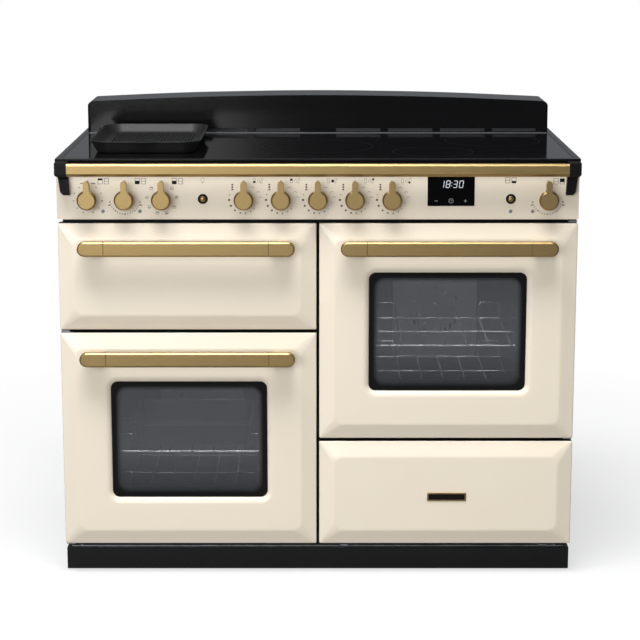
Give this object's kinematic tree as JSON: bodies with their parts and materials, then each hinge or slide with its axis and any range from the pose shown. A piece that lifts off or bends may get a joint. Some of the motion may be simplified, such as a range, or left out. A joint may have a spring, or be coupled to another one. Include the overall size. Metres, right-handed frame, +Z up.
{
  "type": "range cooker",
  "caption": "Free-standing range cooker with two side-opening ovens, drop-down grill, storage drawer, induction hob, griddle, brass handles and a hand rail.",
  "frame": {"origin": "on the floor under the middle of the whole cooker's bounding box, handles included", "axes": "+X to the right seen from the front, +Y to the back, +Z up"},
  "size_m": [1.092, 0.6546, 0.993],
  "materials": {
    "cream_enamel": "gloss enamel",
    "black_enamel": "gloss enamel",
    "cavity_enamel": "speckled vitreous enamel",
    "brass": "polished and lacquered",
    "hob_glass": "polished ceramic glass",
    "display_glass": "gloss black window",
    "door_glass": "tinted toughened glass",
    "lamp_glass": "clear moulded glass",
    "neon_lens": "tinted lens",
    "black_plastic": "moulded",
    "switch_plastic": "moulded",
    "galvanised": "zinc coated",
    "chrome_wire": "bright plated wire",
    "element_steel": "heat darkened",
    "cast_iron": "seasoned cast iron",
    "aluminium": "rolled and cast",
    "silicone": "heat resistant seal",
    "pan_enamel": "vitreous enamel",
    "roller_nylon": "hard nylon"
  },
  "bodies": {
    "cooker": {"side_panel_left": "black_enamel", "side_panel_right": "black_enamel", "back_panel": "galvanised", "base_frame": "galvanised", "front_frame": "black_enamel", "plinth": "black_enamel", "levelling_feet": "black_plastic", "hob_frame": "black_enamel", "hob_glass": "hob_glass", "induction_coils": "aluminium", "rear_upstand": "black_enamel", "rail_brackets": "black_enamel", "hand_rail": "brass", "control_panel": "cream_enamel", "clock_display": "display_glass", "indicator_lights": "neon_lens", "button_bezels": "black_plastic", "panel_switches": "switch_plastic", "grill_cavity": "cavity_enamel", "left_oven_cavity": "cavity_enamel", "right_oven_cavity": "cavity_enamel", "heating_elements": "element_steel", "shelf_supports": "chrome_wire", "fan_guards": "cavity_enamel", "fan_motors": "galvanised", "oven_lamps": "lamp_glass", "drawer_runners": "galvanised", "terminal_box": "black_plastic", "door_hinges": "black_enamel", "door_seals": "silicone", "wire_shelves": "chrome_wire", "enamel_pans": "pan_enamel"},
    "left_oven_door": {"left_oven_door_panel": "cream_enamel", "left_oven_door_glass": "door_glass", "left_oven_door_liner": "black_enamel", "left_oven_door_handle": "brass"},
    "right_oven_door": {"right_oven_door_panel": "cream_enamel", "right_oven_door_glass": "door_glass", "right_oven_door_liner": "black_enamel", "right_oven_door_handle": "brass"},
    "grill_door": {"grill_door_panel": "cream_enamel", "grill_door_liner": "black_enamel", "grill_door_handle": "brass"},
    "drawer": {"drawer_front": "cream_enamel", "drawer_box": "galvanised"},
    "griddle": {"griddle": "cast_iron"},
    "rollers": {"rear_rollers": "roller_nylon"},
    "left_fan": {"left_oven_fan": "galvanised"},
    "right_fan": {"right_oven_fan": "galvanised"},
    "left_button": {"button_left": "brass"},
    "right_button": {"button_right": "brass"},
    "knob_1": {"knob_1": "brass"},
    "knob_2": {"knob_2": "brass"},
    "knob_3": {"knob_3": "brass"},
    "knob_4": {"knob_4": "brass"},
    "knob_5": {"knob_5": "brass"},
    "knob_6": {"knob_6": "brass"},
    "knob_7": {"knob_7": "brass"},
    "knob_8": {"knob_8": "brass"},
    "knob_9": {"knob_9": "brass"}
  },
  "joints": [
    {"name": "left_oven_door_hinge", "type": "hinge", "parent": "cooker", "child": "left_oven_door", "pos_m": [-0.534, -0.26125, 0.3025], "axis": [0, 0, -1], "range_deg": [0, 110]},
    {"name": "right_oven_door_hinge", "type": "hinge", "parent": "cooker", "child": "right_oven_door", "pos_m": [0.534, -0.26125, 0.5375], "axis": [0, 0, 1], "range_deg": [0, 110]},
    {"name": "grill_door_hinge", "type": "hinge", "parent": "cooker", "child": "grill_door", "pos_m": [-0.2735, -0.27125, 0.554], "axis": [1, 0, 0], "range_deg": [0, 90]},
    {"name": "drawer_slide", "type": "slide", "parent": "cooker", "child": "drawer", "axis": [0, -1, 0], "range_m": [0, 0.36]},
    {"name": "griddle_lift", "type": "slide", "parent": "cooker", "child": "griddle", "axis": [0, 0, 1], "range_m": [0, 0.15]},
    {"name": "roller_spin", "type": "hinge", "parent": "cooker", "child": "rollers", "pos_m": [0, 0.25725, 0.02], "axis": [1, 0, 0], "continuous": true},
    {"name": "left_fan_spin", "type": "hinge", "parent": "cooker", "child": "left_fan", "pos_m": [-0.2735, 0.19675, 0.2605], "axis": [0, 1, 0], "continuous": true},
    {"name": "right_fan_spin", "type": "hinge", "parent": "cooker", "child": "right_fan", "pos_m": [0.2735, 0.19675, 0.4955], "axis": [0, 1, 0], "continuous": true},
    {"name": "knob_1_turn", "type": "hinge", "parent": "cooker", "child": "knob_1", "pos_m": [-0.479, -0.27975, 0.821], "axis": [0, 1, 0], "range_deg": [0, 270]},
    {"name": "knob_2_turn", "type": "hinge", "parent": "cooker", "child": "knob_2", "pos_m": [-0.402, -0.27975, 0.821], "axis": [0, 1, 0], "range_deg": [0, 270]},
    {"name": "knob_3_turn", "type": "hinge", "parent": "cooker", "child": "knob_3", "pos_m": [-0.325, -0.27975, 0.821], "axis": [0, 1, 0], "range_deg": [0, 300]},
    {"name": "knob_4_turn", "type": "hinge", "parent": "cooker", "child": "knob_4", "pos_m": [-0.154, -0.27975, 0.821], "axis": [0, 1, 0], "range_deg": [0, 270]},
    {"name": "knob_5_turn", "type": "hinge", "parent": "cooker", "child": "knob_5", "pos_m": [-0.077, -0.27975, 0.821], "axis": [0, 1, 0], "range_deg": [0, 270]},
    {"name": "knob_6_turn", "type": "hinge", "parent": "cooker", "child": "knob_6", "pos_m": [0, -0.27975, 0.821], "axis": [0, 1, 0], "range_deg": [0, 270]},
    {"name": "knob_7_turn", "type": "hinge", "parent": "cooker", "child": "knob_7", "pos_m": [0.077, -0.27975, 0.821], "axis": [0, 1, 0], "range_deg": [0, 270]},
    {"name": "knob_8_turn", "type": "hinge", "parent": "cooker", "child": "knob_8", "pos_m": [0.154, -0.27975, 0.821], "axis": [0, 1, 0], "range_deg": [0, 270]},
    {"name": "knob_9_turn", "type": "hinge", "parent": "cooker", "child": "knob_9", "pos_m": [0.479, -0.27975, 0.821], "axis": [0, 1, 0], "range_deg": [0, 270]},
    {"name": "left_button_push", "type": "slide", "parent": "cooker", "child": "left_button", "axis": [0, 1, 0], "range_m": [0, 0.003], "stiffness_N_per_m": 600, "springref_m": -0.002},
    {"name": "right_button_push", "type": "slide", "parent": "cooker", "child": "right_button", "axis": [0, 1, 0], "range_m": [0, 0.003], "stiffness_N_per_m": 600, "springref_m": -0.002}
  ]
}
